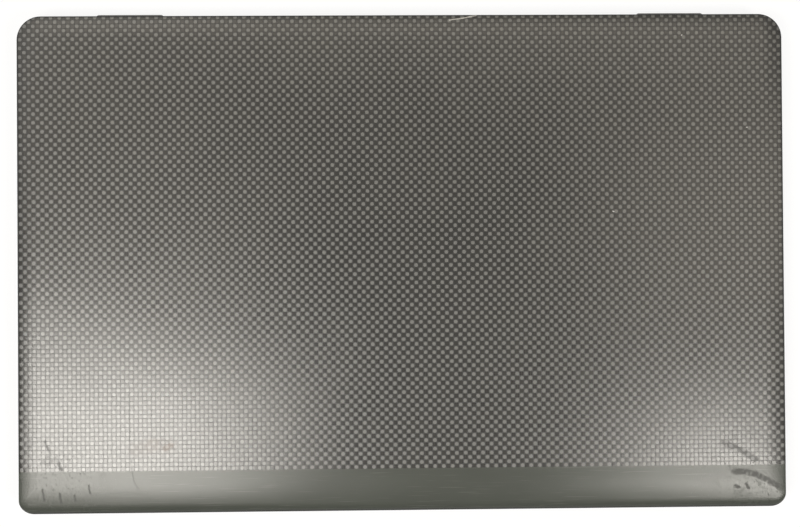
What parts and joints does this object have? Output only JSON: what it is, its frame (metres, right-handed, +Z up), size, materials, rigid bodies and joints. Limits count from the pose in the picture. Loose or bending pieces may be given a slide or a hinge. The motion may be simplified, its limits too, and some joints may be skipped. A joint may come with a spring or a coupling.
{
  "type": "laptop computer",
  "caption": "Slim closed laptop with a dark woven-fibre lid, rounded corners, a plain satin strip along the front and hinge caps at the rear; the lid opens over a keyboard and touchpad.",
  "frame": {"origin": "on the surface that the feet stand on, under the middle of the outline", "axes": "+X to the user's right, +Y from the front edge back to the hinges, +Z up"},
  "size_m": [0.3214, 0.2096, 0.0176],
  "materials": {
    "carbon_weave": "woven fibre under a satin clear coat",
    "satin_strip": "satin, smooth",
    "dark_shell": "fine matte texture",
    "bezel_plastic": "matte",
    "screen": "anti-glare",
    "lens": "glossy",
    "keycap": "fine matte texture",
    "touch_surface": "smooth matte",
    "rubber": "matte",
    "hinge_steel": "satin",
    "port_steel": "drawn sheet",
    "copper": "bare",
    "fin_metal": "bare",
    "sheet_metal": "satin",
    "circuit_board": "solder mask",
    "cell_wrap": "wrapped film",
    "panel_back": "metallised film"
  },
  "bodies": {
    "base": {"hinge_bracket_left": "hinge_steel", "hinge_bracket_right": "hinge_steel", "hinge_cap_left": "dark_shell", "hinge_cap_right": "dark_shell", "palmrest": "dark_shell", "bottom_cover": "dark_shell", "front_foot": "rubber", "rear_foot": "rubber", "keyboard_lattice": "dark_shell", "keyboard_plate": "sheet_metal", "touchpad": "touch_surface", "system_board": "circuit_board", "processor": "circuit_board", "cold_plate": "copper", "heat_pipe": "copper", "heat_fins": "fin_metal", "fan_housing": "sheet_metal", "memory_module": "circuit_board", "ssd_card": "circuit_board", "wlan_card": "circuit_board", "battery_pack": "cell_wrap", "speakers": "dark_shell", "usb_c_ports": "port_steel", "usb_a_ports": "port_steel", "video_port": "port_steel", "audio_jack": "bezel_plastic", "sim_socket": "port_steel", "lock_plate": "hinge_steel"},
    "lid": {"lid_cover": "carbon_weave", "lid_antenna_strip": "satin_strip", "lcd_module": "panel_back", "lcd_screen": "screen", "display_bezel": "bezel_plastic", "bezel_bumpers": "rubber", "webcam_board": "circuit_board", "webcam_lens": "lens", "wireless_antennas": "circuit_board", "display_cable": "cell_wrap", "hinge_arm_left": "hinge_steel", "hinge_arm_right": "hinge_steel", "hinge_pin_left": "hinge_steel", "hinge_pin_right": "hinge_steel"},
    "shutter": {"camera_shutter": "bezel_plastic"},
    "fan": {"fan_impeller": "dark_shell"},
    "card_tray": {"sim_tray": "dark_shell"},
    "power_key": {"power_button": "keycap"},
    "left_button": {"touchpad_button_left": "keycap"},
    "right_button": {"touchpad_button_right": "keycap"},
    "function_row": {"keys_function_row": "keycap"},
    "number_row": {"keys_number_row": "keycap"},
    "upper_row": {"keys_upper_row": "keycap"},
    "home_row": {"keys_home_row": "keycap"},
    "lower_row": {"keys_lower_row": "keycap"},
    "bottom_row": {"keys_bottom_row": "keycap"},
    "space_bar": {"key_space": "keycap"},
    "enter_key": {"key_enter": "keycap"}
  },
  "joints": [
    {"name": "lid_hinge", "type": "hinge", "parent": "base", "child": "lid", "pos_m": [0, 0.1002, 0.01], "axis": [-1, 0, 0], "range_deg": [0, 140]},
    {"name": "shutter_slide", "type": "slide", "parent": "lid", "child": "shutter", "axis": [-1, 0, 0], "range_m": [0, 0.005]},
    {"name": "fan_spin", "type": "hinge", "parent": "base", "child": "fan", "pos_m": [0.052, 0.0565, 0.005], "axis": [0, 0, 1], "continuous": true},
    {"name": "card_tray_slide", "type": "slide", "parent": "base", "child": "card_tray", "axis": [1, 0, 0], "range_m": [0, 0.018]},
    {"name": "power_press", "type": "slide", "parent": "base", "child": "power_key", "axis": [0, 0, -1], "range_m": [0, 0.0006], "stiffness_N_per_m": 800, "springref_m": -0.0008},
    {"name": "left_button_press", "type": "slide", "parent": "base", "child": "left_button", "axis": [0, 0, -1], "range_m": [0, 0.0005], "stiffness_N_per_m": 900, "springref_m": -0.0008},
    {"name": "right_button_press", "type": "slide", "parent": "base", "child": "right_button", "axis": [0, 0, -1], "range_m": [0, 0.0005], "stiffness_N_per_m": 900, "springref_m": -0.0008},
    {"name": "function_row_press", "type": "slide", "parent": "base", "child": "function_row", "axis": [0, 0, -1], "range_m": [0, 0.0012], "stiffness_N_per_m": 500, "springref_m": -0.001},
    {"name": "number_row_press", "type": "slide", "parent": "base", "child": "number_row", "axis": [0, 0, -1], "range_m": [0, 0.0012], "stiffness_N_per_m": 500, "springref_m": -0.001},
    {"name": "upper_row_press", "type": "slide", "parent": "base", "child": "upper_row", "axis": [0, 0, -1], "range_m": [0, 0.0012], "stiffness_N_per_m": 500, "springref_m": -0.001},
    {"name": "home_row_press", "type": "slide", "parent": "base", "child": "home_row", "axis": [0, 0, -1], "range_m": [0, 0.0012], "stiffness_N_per_m": 500, "springref_m": -0.001},
    {"name": "lower_row_press", "type": "slide", "parent": "base", "child": "lower_row", "axis": [0, 0, -1], "range_m": [0, 0.0012], "stiffness_N_per_m": 500, "springref_m": -0.001},
    {"name": "bottom_row_press", "type": "slide", "parent": "base", "child": "bottom_row", "axis": [0, 0, -1], "range_m": [0, 0.0012], "stiffness_N_per_m": 500, "springref_m": -0.001},
    {"name": "space_bar_press", "type": "slide", "parent": "base", "child": "space_bar", "axis": [0, 0, -1], "range_m": [0, 0.0012], "stiffness_N_per_m": 500, "springref_m": -0.001},
    {"name": "enter_key_press", "type": "slide", "parent": "base", "child": "enter_key", "axis": [0, 0, -1], "range_m": [0, 0.0012], "stiffness_N_per_m": 500, "springref_m": -0.001}
  ]
}
